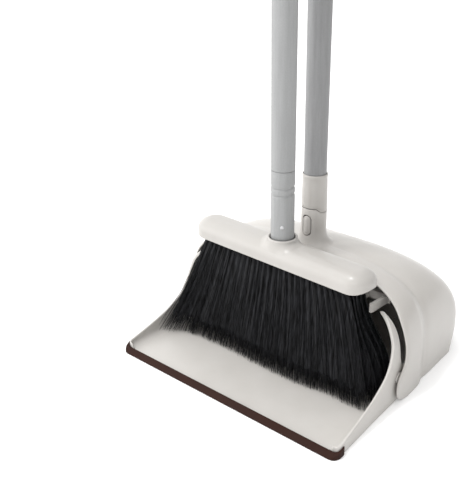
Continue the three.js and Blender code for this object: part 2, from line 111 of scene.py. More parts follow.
def spline(points, count):
    """A Catmull-Rom curve through 2-D points, as count + 1 points at equal distances."""
    p = np.array(points, float)
    padded = np.vstack([2 * p[0] - p[1], p, 2 * p[-1] - p[-2]])
    fine = []
    for i in range(1, len(padded) - 2):
        a, b, c, d = padded[i - 1 : i + 3]
        for t in np.linspace(0, 1, 24, endpoint=False):
            fine.append(
                0.5
                * (2 * b + (c - a) * t + (2 * a - 5 * b + 4 * c - d) * t**2
                   + (3 * b - a - 3 * c + d) * t**3)
            )
    fine = np.array(fine + [p[-1]])
    run = np.concatenate([[0], np.cumsum(np.linalg.norm(np.diff(fine, axis=0), axis=1))])
    want = np.linspace(0, run[-1], count + 1)
    return np.column_stack([np.interp(want, run, fine[:, k]) for k in (0, 1)])


def grid_faces(rows, cols, first=0, close_rows=False, close_cols=False):
    faces = []
    for i in range(rows if close_rows else rows - 1):
        for j in range(cols if close_cols else cols - 1):
            a, b = i * cols + j, i * cols + (j + 1) % cols
            c, d = ((i + 1) % rows) * cols + (j + 1) % cols, ((i + 1) % rows) * cols + j
            faces.append((first + a, first + b, first + c, first + d))
    return faces


def make(name, points, faces, material, body, replaces=(), sharp=32, broom=False, fix=True):
    """A closed mesh from points in millimetres, riding on a CAD body."""
    points = np.array(points, float).reshape(-1, 3)
    if broom:
        c, s = math.cos(BROOM_YAW), math.sin(BROOM_YAW)
        points = points @ np.array([[c, s, 0], [-s, c, 0], [0, 0, 1]]) + [0, BROOM_Y, 0]
    mesh = bpy.data.meshes.new(name)
    mesh.from_pydata((points * MM).tolist(), [], [list(f) for f in faces])
    if fix:
        bm = bmesh.new()
        bm.from_mesh(mesh)
        bmesh.ops.remove_doubles(bm, verts=bm.verts, dist=1e-6)
        bmesh.ops.recalc_face_normals(bm, faces=bm.faces)
        bm.to_mesh(mesh)
        bm.free()
    mesh.materials.append(material)
    mesh.shade_smooth()
    if sharp:
        mesh.set_sharp_from_angle(angle=math.radians(sharp))
    piece = bpy.data.objects.new(name, mesh)
    bpy.context.scene.collection.objects.link(piece)
    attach(piece, body)
    if replaces:
        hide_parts(*replaces)
    return piece


def carve(piece, points, faces, sharp):
    """Cuts a closed tool, given in millimetres, out of a piece."""
    mesh = bpy.data.meshes.new("tool")
    mesh.from_pydata([tuple(c * MM for c in p) for p in points], [], faces)
    bm = bmesh.new()
    bm.from_mesh(mesh)
    bmesh.ops.recalc_face_normals(bm, faces=bm.faces)
    bm.to_mesh(mesh)
    bm.free()
    tool = bpy.data.objects.new("tool", mesh)
    bpy.context.scene.collection.objects.link(tool)
    modifier = piece.modifiers.new("carve", "BOOLEAN")
    modifier.object, modifier.solver = tool, "EXACT"
    bpy.context.view_layer.update()
    shape = piece.evaluated_get(bpy.context.evaluated_depsgraph_get())
    carved = bpy.data.meshes.new_from_object(shape)
    piece.modifiers.clear()
    piece.data = carved
    piece.data.set_sharp_from_angle(angle=math.radians(sharp))
    bpy.data.objects.remove(tool)


def end_faces(rows, cols):
    """One face over the first row of a grid and one over its last row."""
    last = (rows - 1) * cols
    return [tuple(range(cols)), tuple(range(last + cols - 1, last - 1, -1))]


def level_ring(r, z, turn):
    return [(r * math.cos(t), r * math.sin(t), z) for t in turn]


def lathe(profile, sides=96, y=0.0):
    """A closed profile of [radius, z] turned about the vertical through (0, y)."""
    turn = np.linspace(0, 2 * math.pi, sides, endpoint=False)
    rows = [[(r * math.cos(t), y + r * math.sin(t), z) for t in turn] for r, z in profile]
    return np.array(rows).reshape(-1, 3), grid_faces(len(profile), sides, 0, True, True)


def rounded(profile, radius, steps=3):
    """A closed profile with each corner cut back and rounded."""
    p = np.array(profile, float)
    out = []
    for i in range(len(p)):
        before, here, after = p[i - 1], p[i], p[(i + 1) % len(p)]
        reach = min(
            radius, 0.45 * np.linalg.norm(here - before), 0.45 * np.linalg.norm(after - here)
        )
        a = here + (before - here) / np.linalg.norm(before - here) * reach
        b = here + (after - here) / np.linalg.norm(after - here) * reach
        for t in np.linspace(0, 1, steps + 1):
            out.append((1 - t) ** 2 * a + 2 * t * (1 - t) * here + t**2 * b)
    return out


# ---------------------------------------------------------------- materials


def nodes_of(name):
    material = bpy.data.materials.new(name)
    material.use_nodes = True
    tree = material.node_tree
    return material, tree, tree.nodes["Principled BSDF"]


def add(tree, kind, links=(), **values):
    """A node with its inputs set, and each link as (from node, from socket, to socket)."""
    node = tree.nodes.new(kind)
    for key, value in values.items():
        if hasattr(node, key):
            setattr(node, key, value)
        else:
            node.inputs[key.replace("_", " ")].default_value = value
    for source, out, into in links:
        tree.links.new(source.outputs[out], node.inputs[into])
    return node


def colour_ramp(tree, source, out, stops):
    ramp = add(tree, "ShaderNodeValToRGB", [(source, out, "Fac")])
    elements = ramp.color_ramp.elements
    while len(elements) < len(stops):
        elements.new(0.5)
    for element, (place, colour) in zip(elements, stops):
        element.position, element.color = place, (*colour, 1)
    return ramp


def range_of(tree, source, out, low, high, from_low=0.0, from_high=1.0):
    return add(
        tree, "ShaderNodeMapRange", [(source, out, "Value")],
        From_Min=from_low, From_Max=from_high, To_Min=low, To_Max=high,
    )


def moulded(name, dark, light, roughness, grain=900.0, bump=0.03, coat=0.0, shine=0.5):
    """Moulded plastic: faint cloudy colour and a fine spark-eroded grain."""
    material, tree, shader = nodes_of(name)
    place = add(tree, "ShaderNodeTexCoord")
    cloud = add(
        tree, "ShaderNodeTexNoise", [(place, "Object", "Vector")],
        Scale=28.0, Detail=3.0, Roughness=0.6,
    )
    base = colour_ramp(tree, cloud, "Fac", [(0.3, dark), (0.7, light)])
    tree.links.new(base.outputs["Color"], shader.inputs["Base Color"])
    fine = add(
        tree, "ShaderNodeTexNoise", [(place, "Object", "Vector")],
        Scale=grain, Detail=2.0, Roughness=0.5,
    )
    smear = add(
        tree, "ShaderNodeTexNoise", [(place, "Object", "Vector")],
        Scale=55.0, Detail=4.0, Roughness=0.65,
    )
    rough = range_of(tree, smear, "Fac", roughness - 0.05, roughness + 0.05, 0.3, 0.7)
    tree.links.new(rough.outputs["Result"], shader.inputs["Roughness"])
    relief = add(
        tree, "ShaderNodeBump", [(fine, "Fac", "Height")], Strength=bump, Distance=0.0003
    )
    tree.links.new(relief.outputs["Normal"], shader.inputs["Normal"])
    shader.inputs["Specular IOR Level"].default_value = shine
    shader.inputs["Coat Weight"].default_value = coat
    shader.inputs["Coat Roughness"].default_value = 0.12
    return material


def painted(name, dark, light, metallic, roughness, fleck):
    """Silver paint: fine flecks, faint lengthwise streaks, uneven gloss."""
    material, tree, shader = nodes_of(name)
    place = add(tree, "ShaderNodeTexCoord")
    fleck_noise = add(
        tree, "ShaderNodeTexNoise", [(place, "Object", "Vector")],
        Scale=1500.0, Detail=2.0, Roughness=0.7,
    )
    stretch = add(tree, "ShaderNodeMapping", [(place, "Object", "Vector")])
    stretch.inputs["Scale"].default_value = (1.0, 1.0, 0.08)
    streak = add(
        tree, "ShaderNodeTexNoise", [(stretch, "Vector", "Vector")],
        Scale=240.0, Detail=3.0, Roughness=0.6,
    )
    both = add(
        tree, "ShaderNodeMixRGB",
        [(fleck_noise, "Fac", "Color1"), (streak, "Fac", "Color2")], Fac=1 - fleck,
    )
    base = colour_ramp(tree, both, "Color", [(0.36, dark), (0.64, light)])
    tree.links.new(base.outputs["Color"], shader.inputs["Base Color"])
    rough = range_of(tree, streak, "Fac", roughness - 0.06, roughness + 0.07, 0.3, 0.7)
    tree.links.new(rough.outputs["Result"], shader.inputs["Roughness"])
    relief = add(
        tree, "ShaderNodeBump", [(fleck_noise, "Fac", "Height")],
        Strength=0.06, Distance=0.0002,
    )
    tree.links.new(relief.outputs["Normal"], shader.inputs["Normal"])
    shader.inputs["Metallic"].default_value = metallic
    shader.inputs["Specular IOR Level"].default_value = 0.25
    return material


def bristle_material():
    """Black filaments: long fine streaks, each lock a little lighter or darker."""
    material, tree, shader = nodes_of("black_bristle")
    place = add(tree, "ShaderNodeTexCoord")
    stretch = add(tree, "ShaderNodeMapping", [(place, "Object", "Vector")])
    stretch.inputs["Scale"].default_value = (1.0, 1.0, 0.03)
    streak = add(
        tree, "ShaderNodeTexNoise", [(stretch, "Vector", "Vector")],
        Scale=620.0, Detail=2.0, Roughness=0.6,
    )
    base = colour_ramp(
        tree, streak, "Fac",
        [(0.36, (0.0022, 0.0022, 0.0024)), (0.66, (0.020, 0.0205, 0.023))],
    )
    tree.links.new(base.outputs["Color"], shader.inputs["Base Color"])
    rough = range_of(tree, streak, "Fac", 0.42, 0.62, 0.3, 0.7)
    tree.links.new(rough.outputs["Result"], shader.inputs["Roughness"])
    shader.inputs["Specular IOR Level"].default_value = 0.12
    return material


WHITE = moulded(
    "warm_white_plastic", (0.415, 0.396, 0.372), (0.445, 0.427, 0.404), 0.34, 700.0, 0.05, 0.08
)
# A darker copy of the white plastic: painted shade that tones down the key light on the broom's
# head and collar.
HEAD_WHITE_SHADED = moulded(
    "head_white_plastic_painted_shade", (0.388, 0.371, 0.349), (0.414, 0.397, 0.376), 0.34, 700.0, 0.05, 0.08
)
# A lighter copy of the white plastic: painted light that brightens the hood and its neck.
HOOD_WHITE_LIT = moulded(
    "hood_white_plastic_painted_light", (0.44, 0.42, 0.395), (0.47, 0.451, 0.427), 0.34, 700.0, 0.05, 0.08
)
# The tray's own plastic is rougher with a coarser grain. Its lighter tone is painted light that
# lifts the shade on its floor.
TRAY_WHITE_LIT = moulded(
    "tray_white_plastic_painted_light", (0.48, 0.461, 0.435), (0.51, 0.491, 0.466), 0.42, 500.0, 0.08
)
LIP_BROWN = moulded(
    "lip_rubber_brown", (0.020, 0.0062, 0.0036), (0.028, 0.0098, 0.0062),
    0.75, 420.0, 0.25, 0.0, 0.18,
)
GRIP_BROWN = moulded(
    "grip_brown", (0.085, 0.036, 0.027), (0.115, 0.052, 0.040), 0.48, 380.0, 0.3
)
PLUG_GREY = moulded("plug_grey", (0.29, 0.29, 0.3), (0.36, 0.36, 0.37), 0.5)
BROOM_SILVER = painted(
    "silver_paint", (0.27, 0.273, 0.273), (0.32, 0.323, 0.323), 0.12, 0.5, 0.4
)
PAN_SILVER = painted(
    "silver_paint_dark", (0.22, 0.221, 0.223), (0.27, 0.271, 0.273), 0.15, 0.45, 0.4
)
STEEL = painted("zinc_steel", (0.42, 0.42, 0.43), (0.56, 0.56, 0.57), 0.9, 0.38, 0.2)
BRISTLE = bristle_material()

# ---------------------------------------------------------------- the arched sections

HALF_STEPS = 56


def unit_arch(power):
    """Half a superellipse of width and height 1 from its foot to its top, evenly spaced."""
    t = np.linspace(0, 1, 500) ** 2.5 * math.pi / 2
    x, z = np.cos(t) ** (2 / power), np.sin(t) ** (2 / MOUTH_POWER)
    run = np.concatenate([[0], np.cumsum(np.hypot(np.diff(x), np.diff(z)))])
    want = np.linspace(0, run[-1], HALF_STEPS + 1)
    return np.interp(want, run, x), np.interp(want, run, z)


POWERS = np.linspace(BACK_POWER, MOUTH_POWER, 41)
UNIT = np.array([np.column_stack(unit_arch(p)) for p in POWERS])


def arch(power):
    """The whole arch as points [x, z] in units of its half width and height."""
    place = (power - BACK_POWER) / (MOUTH_POWER - BACK_POWER) * (len(POWERS) - 1)
    low = min(int(place), len(POWERS) - 2)
    half = UNIT[low] * (low + 1 - place) + UNIT[low + 1] * (place - low)
    half[-1, 0] = 0
    return np.vstack([half, (half * [-1, 1])[-2::-1]])


def hood_size(y):
    """The arch at y: its half width, its height and its squareness."""
    corner = np.sqrt(1 - share(y, CORNER_Y, HALF_DEPTH) ** 2)
    fall = np.sqrt(1 - share(y, FALL_Y, HALF_DEPTH) ** 2)
    a = BACK_HALF + (HOOD_HALF - BACK_HALF) * corner
    b = BACK_HIGH + (HOOD_CREST - BACK_HIGH) * fall - MOUTH_DROP * np.maximum(0, BAND_END_Y - y)
    power = MOUTH_POWER + (BACK_POWER - MOUTH_POWER) * share(y, MOUTH_Y, BAND_END_Y)
    return a, b, power


def tucked(x, y, z, station):
    """Draws the foot of the hood's back in a little."""
    low = np.maximum(0, 1 - np.maximum(0, z) / TUCK_HIGH) ** 2
    amount = low * share(station, CORNER_Y, HALF_DEPTH)
    return x * (1 - TUCK_SHARE * amount), y - TUCK_DEEP * amount, z


def band(y):
    """How far the skin stands out at y: the band round the mouth ends in a soft step."""
    swell = 0.5 * np.sin(math.pi * share(y, -20, BAND_END_Y - 3))
    valley = 0.9 * np.exp(-(((np.asarray(y, float) - BAND_END_Y - 3) / 5.0) ** 2))
    return (BAND_PROUD + swell) * (1 - smoothstep(y, BAND_END_Y - 10, BAND_END_Y + 3)) - valley


def top_of_hood(x, y):
    """The height of the hood's skin above a point of its plan."""
    a, b, power = hood_size(y)
    return (b + band(y)) * (1 - min(1.0, abs(x) / a) ** power) ** (1 / MOUTH_POWER)


MOUTH_EDGE = spline(
    [(-10, -1), (-20, 3), (-24.6, 9), (-25.6, 16), (-24, 24), (-18.5, 30.5), (-14, 38),
     (-13, 50), (-14, 62), (-13.5, 74), (-8, 87), (0, 97), (10, 110)],
    200,
)


def mouth_y(z):
    return np.interp(z, MOUTH_EDGE[:, 1], MOUTH_EDGE[:, 0])


def hood_columns():
    """For each point round the arch, the y at which it meets the mouth's edge."""
    fine = np.linspace(-30, 12, 421)
    found = []
    heights = np.array([arch(hood_size(y)[2])[:, 1] * hood_size(y)[1] for y in fine])
    for k in range(heights.shape[1]):
        gap = fine - mouth_y(heights[:, k])
        found.append(np.interp(0, gap, fine))
    return np.array(found)


def build_hood():
    front = hood_columns()
    # The rolled edge, then a relief inside it that leaves room for the tray's wall.
    lip = [(2.2, 0.0), (1.3, -0.12), (0.6, -0.4), (0.15, -0.85), (0, -1.35), (0.1, -1.7),
           (0.4, -1.95), (1.0, -2.05), (4.0, -2.05), (8.0, -2.2), (9.5, -2.9), (11.0, -4.0)]
    mid = np.linspace(10, 36, 27)
    back = 37 + (HALF_DEPTH - 37) * np.sin(np.linspace(0, math.pi / 2, 44))
    # Each station is (kind, value, offset from the hood's skin).
    shrink = [0.97, 0.9, 0.75, 0.5, 0.25, 0.001]
    outer = [("cap", s, 0.0) for s in reversed(shrink)]
    outer += [("y", y, None) for y in reversed(back)]
    outer += [("y", y, None) for y in reversed(mid)]
    outer += [("part", t, None) for t in (0.85, 0.68, 0.5, 0.34, 0.2, 0.1)]
    edge = [("edge", d, off) for d, off in lip]
    inner = [("part", t, -HOOD_WALL) for t in (0.5, 0.68, 0.85)]
    inner += [("y", y, -HOOD_WALL) for y in mid]
    inner += [("y", y, -HOOD_WALL) for y in back]
    inner += [("cap", s, -HOOD_WALL) for s in shrink]
    stations = outer + edge + inner
    count = 2 * HALF_STEPS + 1
    points = np.zeros((len(stations), count, 3))
    cache = {}

    def at(y, k):
        key = round(float(y), 3)
        if key not in cache:
            a, b, power = hood_size(key)
            cache[key] = (a, b, arch(power))
        a, b, unit = cache[key]
        return a, b, unit[k]

    for i, (kind, value, off) in enumerate(stations):
        for k in range(count):
            scale = 1.0
            if kind == "y":
                y = value
            elif kind == "part":
                y = front[k] + 2.2 + (10 - front[k] - 2.2) * value
            elif kind == "edge":
                y = front[k] + value
            else:
                y, scale = HALF_DEPTH, value
            a, b, unit = at(y, k)
            inset = off if off is not None else float(band(y))
            if kind == "edge":
                inset = BAND_PROUD + off
            placed = y + (inset * max(0.0, y / HALF_DEPTH) if inset < 0 else 0)
            x, z = unit[0] * (a + inset) * scale, unit[1] * (b + inset) * scale
            points[i, k] = tucked(x, placed, z, y)
    faces = grid_faces(len(stations), count)
    for k in (0, count - 1):
        for j in range(len(stations) // 2 - 1):
            o, p = j * count + k, (j + 1) * count + k
            q, r = (len(stations) - 2 - j) * count + k, (len(stations) - 1 - j) * count + k
            faces.append((o, p, q, r))
        middle = len(stations) // 2
        faces.append(tuple((middle + step) * count + k for step in (-1, 0, 1)))
    last = (len(stations) - 1) * count
    faces += [tuple(range(count)), tuple(range(last, last + count))]
    faces.append((0, count - 1, last + count - 1, last))
    return points.reshape(-1, 3), faces


# ---------------------------------------------------------------- hood, neck and sleeve

points, faces = build_hood()
make("hood_shell", points, faces, HOOD_WHITE_LIT, "pan_frame", ["hood"], sharp=50)


SEAM = spline([(-20, 2.1), (5.5, 2.1), (8.6, 1.4), (10.4, -0.6), (11.7, -1.8), (20, -2.1)], 90)
FLARE_FOOT_R, FLARE_TOP, NECK_FLOOR = 21.0, 117.0, 101.2


def seam_z(x):
    """The S-shaped seam between the neck and the sleeve."""
    return NECK_TOP + np.interp(x, SEAM[:, 0], SEAM[:, 1])


def flare_foot(t):
    """The hood's height under the rim of the neck's flare, at a turn of t round the pole."""
    return top_of_hood(FLARE_FOOT_R * math.cos(t), POLE_Y + FLARE_FOOT_R * math.sin(t))


def build_neck():
    """The neck flares into the hood's top, so its foot follows that surface."""
    sides, rows = 144, []
    flare = [(FLARE_FOOT_R, 0.0), (19.0, 0.02), (17.3, 0.07), (15.9, 0.14), (14.8, 0.23),
             (13.9, 0.34), (13.2, 0.47), (12.6, 0.62), (12.2, 0.8), (NECK_R, 1.0)]
    turn = np.linspace(0, 2 * math.pi, sides, endpoint=False)
    for r, part in flare:
        row = []
        for t in turn:
            foot = flare_foot(t) - 0.3
            row.append((r * math.cos(t), r * math.sin(t), foot + (FLARE_TOP - foot) * part))
        rows.append(row)
    rows += [level_ring(NECK_R, z, turn) for z in (FLARE_TOP + 3, 124, 128)]
    bore = TUBE_R + FIT
    for r, drop in ((NECK_R, 0.5), (NECK_R - 0.12, 0.12), (NECK_R - 0.5, 0), (bore, 0)):
        rows.append(
            [(r * math.cos(t), r * math.sin(t), seam_z(r * math.cos(t)) - drop) for t in turn]
        )
    rows += [level_ring(r, POLE_FOOT - GAP, turn) for r in (bore, 0.01)]
    low = [
        (FLARE_FOOT_R * math.cos(t), FLARE_FOOT_R * math.sin(t), flare_foot(t) - 1.2)
        for t in turn
    ]
    floor = [level_ring(r, NECK_FLOOR, turn) for r in (0.01, 10)]
    points = np.array([*floor, low, *rows]) + [0, POLE_Y, 0]
    return points.reshape(-1, 3), grid_faces(len(points), sides, 0, True, True)


def oval_prism(r, straight, y0, y1, steps=20):
    """An upright oval bar along Y, centred on the button."""
    ring = []
    for i in range(2 * steps):
        t = 2 * math.pi * (i + 0.5) / (2 * steps)
        lift = straight / 2 if math.sin(t) > 0 else -straight / 2
        ring.append((r * math.cos(t), r * math.sin(t) + lift))
    points = [(x, y, BUTTON_Z + z) for y in (y0, y1) for x, z in ring]
    count = len(ring)
    return points, grid_faces(2, count, 0, False, True) + end_faces(2, count)


points, faces = build_neck()
neck = make("hood_neck", points, faces, HOOD_WHITE_LIT, "pan_frame", sharp=50)
carve(neck, *oval_prism(BUTTON_R + GAP, BUTTON_STRAIGHT, POLE_Y - 20, POLE_Y), sharp=50)


def build_button():
    """A pad on the neck's curve: sunk at the top, flush at the bottom, with a raised grip."""
    rings = [(0.0, BUTTON_BACK), (0.0, BUTTON_BACK + 0.8)]
    front = [(-0.8, 2.0), (-0.9, 1.2), (-1.3, 0.75), (-1.8, 0.55), (-2.1, 0.85), (-2.4, 0.85),
             (-2.7, 0.5), (-3.5, 0.35), (-4.4, 0.3)]
    rings += [(-0.8, BUTTON_BACK + 1.0)] + [(grow, BUTTON_FRONT + sink) for grow, sink in front]
    points, steps = [], 24
    for k, (grow, y) in enumerate(rings):
        for i in range(2 * steps):
            t = 2 * math.pi * (i + 0.5) / (2 * steps)
            low = 0.5 - 0.5 * math.sin(t)
            r = BUTTON_R + grow * (1 - 0.6 * low if grow > -1.5 else 1)
            straight = BUTTON_STRAIGHT / 2 * (1 if math.sin(t) > 0 else -1)
            x = r * math.cos(t)
            bulge = NECK_R - math.sqrt(NECK_R**2 - x**2) - 0.75 * low if k > 2 else 0
            points.append((x, POLE_Y + y + bulge, BUTTON_Z + r * math.sin(t) + straight))
    count = 2 * steps
    return points, grid_faces(len(rings), count, 0, False, True) + end_faces(len(rings), count)


points, faces = build_button()
make("button_pad", points, faces, WHITE, "button", ["release_button"], sharp=45)


def build_sleeve():
    """The sleeve above the seam, with a beaded upper end."""
    sides = 128
    turn = np.linspace(0, 2 * math.pi, sides, endpoint=False)
    bore = TUBE_R + FIT
    rows = []
    for r, lift in ((bore, 0), (NECK_R - 0.5, 0), (NECK_R - 0.12, 0.12), (NECK_R, 0.5)):
        rows.append(
            [(r * math.cos(t), r * math.sin(t), seam_z(r * math.cos(t)) + 0.75 + lift)
             for t in turn]
        )
    top = [(NECK_R, 141), (11.9, 150), (11.7, 162), (11.6, 167.0), (11.85, 167.7),
           (11.85, 169.2), (11.4, SLEEVE_TOP), (10.95, SLEEVE_TOP), (bore, SLEEVE_TOP - 0.5)]
    rows += [level_ring(r, z, turn) for r, z in top]
    points = np.array(rows) + [0, POLE_Y, 0]
    return points.reshape(-1, 3), grid_faces(len(rows), sides, 0, True, True)


points, faces = build_sleeve()
make("sleeve_shell", points, faces, WHITE, "pan_frame", ["pole_sleeve"], sharp=50)

# ---------------------------------------------------------------- tray and lip

RIM = spline(
    [(-HALF_DEPTH - 4, 6.4), (-104, 10), (-84, 14.5), (-62, 20.8), (-49, 26.5), (-38, 34),
     (-30, 46), (-25.5, 58), (-23.5, 68), (-18.5, 79), (-10, 92)],
    150,
)
# The back edge of the two arms that stand up at the mouth, from their tips down.
ARM_BACK = spline(
    [(-17.5, 99), (-17.3, 84), (-17.1, 76), (-16.9, 66), (-16.8, 55), (-16.3, 45), (-14.5, 37),
     (-11, 32), (-4, 30)],
    110,
)
ARM_FOOT_Y, WALL_BACK = -4, 30.0
CORNER_R = 5


def tray_stations():
    """Pairs of y and wall height, from the lip to the back."""
    ys = [TRAY_FRONT]
    tops = [float(np.interp(TRAY_FRONT, RIM[:, 0], RIM[:, 1]))]
    for y, z in RIM[RIM[:, 0] > TRAY_FRONT + 0.6]:
        if z >= TRAY_TOP:
            break
        ys.append(max(y, ys[-1] + 0.12))
        tops.append(z)
    for y, z in ARM_BACK[ARM_BACK[:, 1] < TRAY_TOP]:
        ys.append(max(y, ys[-1] + 0.02))
        tops.append(z)
    for part in np.sin(np.linspace(0, math.pi / 2, 24))[1:]:
        ys.append(ARM_FOOT_Y + (TRAY_BACK - TRAY_WALL - ARM_FOOT_Y) * part)
        tops.append(WALL_BACK)
    return ys, tops


def tray_half(y):
    corner = share(y, TRAY_BACK - TRAY_CORNER, TRAY_BACK)
    flare = TRAY_FLARE * share(-y, 50, 105)
    return TRAY_HALF + flare - TRAY_CORNER * (1 - np.sqrt(1 - corner**2))


def side_x(half, height, z):
    return half * (1 - min(1.0, max(0.0, z) / height) ** MOUTH_POWER) ** (1 / MOUTH_POWER)


def build_tray():
    """One closed skin: floor, walls and rounded rim, with a solid back wall."""
    ys, tops = tray_stations()
    wall_steps, fillet_steps, floor_cols, fillet = 22, 6, 14, 7.0
    steps = wall_steps + fillet_steps + floor_cols
    sections = []
    for y, top in zip(ys, tops):
        half = float(tray_half(y))
        corner = max(0.0, CORNER_R - (y - TRAY_FRONT)) / CORNER_R
        half -= CORNER_R * (1 - math.sqrt(max(0.0, 1 - corner**2)))
        high = top - 1.1
        foot = TRAY_FLOOR + min(fillet, max(0.6, (high - TRAY_FLOOR) * 0.7))
        inner, outer = [], []
        for i in range(wall_steps + 1):
            z = high + (foot - high) * i / wall_steps
            inner.append((side_x(half - TRAY_WALL, TRAY_ARCH - TRAY_WALL, z), z))
            z = high * (1 - i / (wall_steps + fillet_steps))
            outer.append((side_x(half, TRAY_ARCH, z), z))
        edge_x = inner[-1][0]
        for i in range(1, fillet_steps + 1):
            t = i / fillet_steps * math.pi / 2
            round_x = edge_x - fillet * (1 - math.cos(t))
            inner.append((round_x, foot - (foot - TRAY_FLOOR) * math.sin(t)))
            z = high * (1 - (wall_steps + i) / (wall_steps + fillet_steps))
            outer.append((side_x(half, TRAY_ARCH, z), z))
        last_in, last_out = inner[-1][0], outer[-1][0]
        for i in range(1, floor_cols + 1):
            inner.append((last_in * (1 - i / floor_cols), TRAY_FLOOR))
            outer.append((last_out * (1 - i / floor_cols), 0.0))
        sections.append((y, np.array(inner), np.array(outer)))
    rings = []

    def ring(y, inner, outer):
        middle, reach = (inner[0] + outer[0]) / 2, (outer[0] - inner[0]) / 2
        rim = [
            (middle[0] + reach[0] * 1.03 * math.cos(t), middle[1] + 1.1 * math.sin(t))
            for t in np.linspace(0, math.pi, 9)[1:-1]
        ]
        right = [*outer[::-1], *rim, *inner]
        left = [(-x, z) for x, z in reversed(right[1:-1])]
        rings.append([(x, y, z) for x, z in right + left])

    y, inner, outer = sections[0]
    ring(y, inner + (outer - inner) * 0.22, outer + (inner - outer) * 0.22)
    for y, inner, outer in sections:
        ring(y + (0.5 if y == sections[0][0] else 0), inner, outer)
    y, inner, outer = sections[-1]
    flat = np.column_stack(
        [np.linspace(inner[0][0], 0, steps + 1), np.full(steps + 1, inner[0][1])]
    )
    ring(y, flat, outer)
    ring(TRAY_BACK - 0.6, flat, outer)
    ring(TRAY_BACK, flat, outer + (flat - outer) * 0.02)
    count = len(rings[0])
    faces = grid_faces(len(rings), count, 0, False, True)
    rim_count = 7

    def close(base):
        """Joins the outer line of the ring that starts at base to its inner line."""
        for side in (1, -1):
            ks = [base + (k if side == 1 else (count - k) % count) for k in range(count)]
            inner_at = [ks[steps + rim_count + 1 + i] for i in range(steps + 1)]
            outer_at = [ks[steps - i] for i in range(steps + 1)]
            for i in range(steps):
                faces.append((outer_at[i], outer_at[i + 1], inner_at[i + 1], inner_at[i]))
            rim = [ks[steps + 1 + i] for i in range(rim_count)]
            faces.append((outer_at[0], *rim, inner_at[0]))

    close(0)
    close((len(rings) - 1) * count)
    return rings, faces


points, faces = build_tray()
make("tray_shell", points, faces, TRAY_WHITE_LIT, "tray", ["tray"], sharp=40)


def rounded_corner_path(radius, half, front, end_y, straight=60, turn=16):
    """The plan of one side of the lip from its back end to the middle of the front."""
    path = [(half, end_y + (front + radius - end_y) * i / 8) for i in range(8)]
    for i in range(turn + 1):
        t = math.pi / 2 * i / turn
        path.append((half - radius + radius * math.cos(t), front + radius - radius * math.sin(t)))
    path += [((half - radius) * (1 - i / straight), front) for i in range(1, straight + 1)]
    return np.array(path)


STRIP_TOP = [(-117.6, 1.6), (-113.6, 3.6), (-110.6, 4.9), (-105, 7.8), (-99, 10)]


def strip_top(y):
    return np.interp(y, [p[0] for p in STRIP_TOP], [p[1] for p in STRIP_TOP])


def build_lip():
    """The soft strip along the tray's front edge, thin at the tip and turned up at the corners."""
    side, end_y = TRAY_HALF + TRAY_FLARE + GAP, -104.5
    outer = rounded_corner_path(7.5, side + 1.2, -HALF_DEPTH, end_y)
    inner = rounded_corner_path(5.3, side, -HALF_DEPTH + STRIP - GAP, end_y)
    rings = []
    for o, n in zip(outer, inner):
        across = [0.0, 0.0, 0.06, 0.18, 0.34, 0.5, 0.66, 0.82, 0.94, 1.0, 1.0, 0.5]
        raise_by = [0.25, 0.7, 1.0, 1.0, 1.0, 1.0, 1.0, 1.0, 1.0, 0.9, 0.0, 0.0]
        row = []
        for part, up in zip(across, raise_by):
            x, y = o + (n - o) * part
            top = float(strip_top(y))
            z = top * up if up < 1 else top + 0.25 * math.sin(math.pi * part)
            if part == 0.0 and up < 0.5:
                z = 0.35
            row.append((x, y, z))
        row.insert(0, (*(o + (n - o) * 0.06), 0.0))
        rings.append(row)
    rings += [[(-x, y, z) for x, y, z in row] for row in rings[-2::-1]]
    count = len(rings[0])
    return rings, grid_faces(len(rings), count, 0, False, True) + end_faces(len(rings), count)


points, faces = build_lip()
make("lip_edge", points, faces, LIP_BROWN, "tray", ["lip_strip"], sharp=35)

# ---------------------------------------------------------------- pivot pins

PIVOT_Y, PIVOT_Z = -15.0, 25.0
BOSS_FORWARD, BOSS_DOWN = 3.2, 2.0


def build_pivot(side):
    """The pin that the tray swings on, with a low round boss where it enters the wall."""
    pin = [(0.01, 115.4), (2.6, 115.4), (3.0, 115.8), (3.0, 119.85), (4.9, 119.85), (5.1, 120.2),
           (5.0, 120.9), (4.4, 121.3), (3.0, 121.45), (3.0, 122.7), (0.01, 122.8)]
    turned, faces = lathe(pin, 40)
    along, radius = turned[:, 2], np.hypot(turned[:, 0], turned[:, 1])
    boss = (along > 119.8) & (along < 121.5) & (radius > 4)
    x, y, z = side * along, PIVOT_Y + turned[:, 0], PIVOT_Z + turned[:, 1]
    y[boss] -= BOSS_FORWARD
    z[boss] -= BOSS_DOWN
    return np.column_stack([x, y, z]), faces


for side, name in ((-1, "left"), (1, "right")):
    points, faces = build_pivot(side)
    make(f"pivot_boss_{name}", points, faces, WHITE, "pan_frame",
         [f"pivot_pin_{name}"], sharp=50)

# ---------------------------------------------------------------- broom head

EDGE_HIGH = 2.3


def head_ring(half, deep, z, lift=0.0, ends=22, sides=40):
    """A ring round the head's plan: straight sides, rounded ends, lifted at both ends."""
    ring = []
    for side in (1, -1):
        for i in range(ends + 1):
            t = -math.pi / 2 + math.pi * i / ends
            out = math.cos(t)
            x = HEAD_SHIFT + side * (half - deep + deep * out)
            ring.append((x, side * deep * math.sin(t), z + lift * out**3))
        for i in range(1, sides):
            x = side * (half - deep) * (1 - 2 * i / sides)
            ring.append((HEAD_SHIFT + x, side * deep, z))
    return ring


